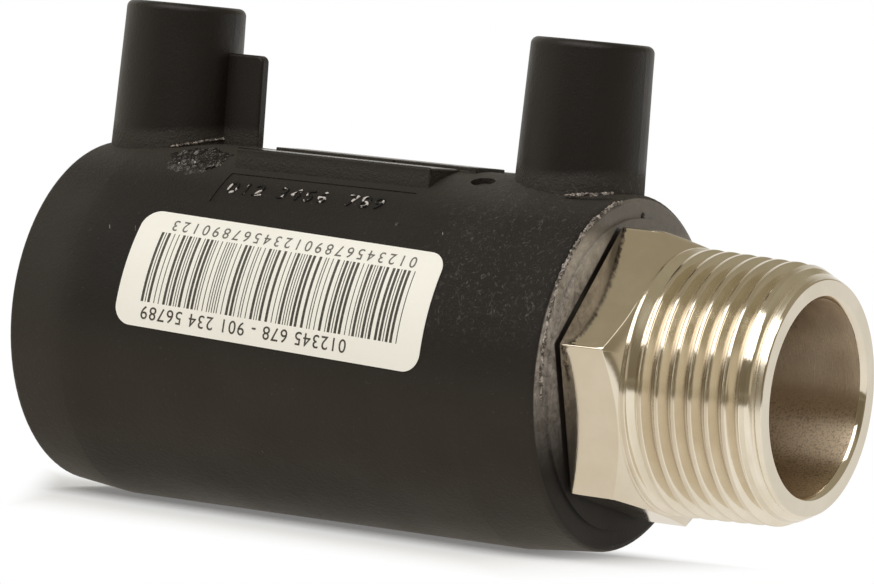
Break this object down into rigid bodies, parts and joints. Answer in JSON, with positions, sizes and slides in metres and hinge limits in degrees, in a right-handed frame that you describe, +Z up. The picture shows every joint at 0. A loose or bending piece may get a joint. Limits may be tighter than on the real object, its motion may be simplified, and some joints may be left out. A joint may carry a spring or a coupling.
{
  "type": "electrofusion male adapter",
  "caption": "Black polyethylene electrofusion socket with shrouded terminals, joined to a plated brass spanner hexagon with a male taper pipe thread.",
  "frame": {"origin": "on the fitting's axis at the pipe stop, where the end of the pipe seats", "axes": "+X along the axis from the pipe socket towards the thread, +Z up along the terminals"},
  "size_m": [0.1068, 0.0471, 0.0648],
  "materials": {
    "black_pe": "fine spark-eroded matt",
    "nickel_plating": "bright nickel plating on turned brass",
    "pin_brass": "turned, plain",
    "heating_wire": "drawn bare copper",
    "ring_rubber": "matt",
    "label_film": "satin white film"
  },
  "bodies": {
    "root": {"fusion_body": "black_pe", "fusion_liner": "black_pe", "heating_coil": "heating_wire", "left_terminal_pin": "pin_brass", "right_terminal_pin": "pin_brass", "fusion_indicator": "black_pe", "threaded_insert": "nickel_plating", "seal_ring": "ring_rubber", "barcode_label": "label_film"}
  },
  "joints": []
}
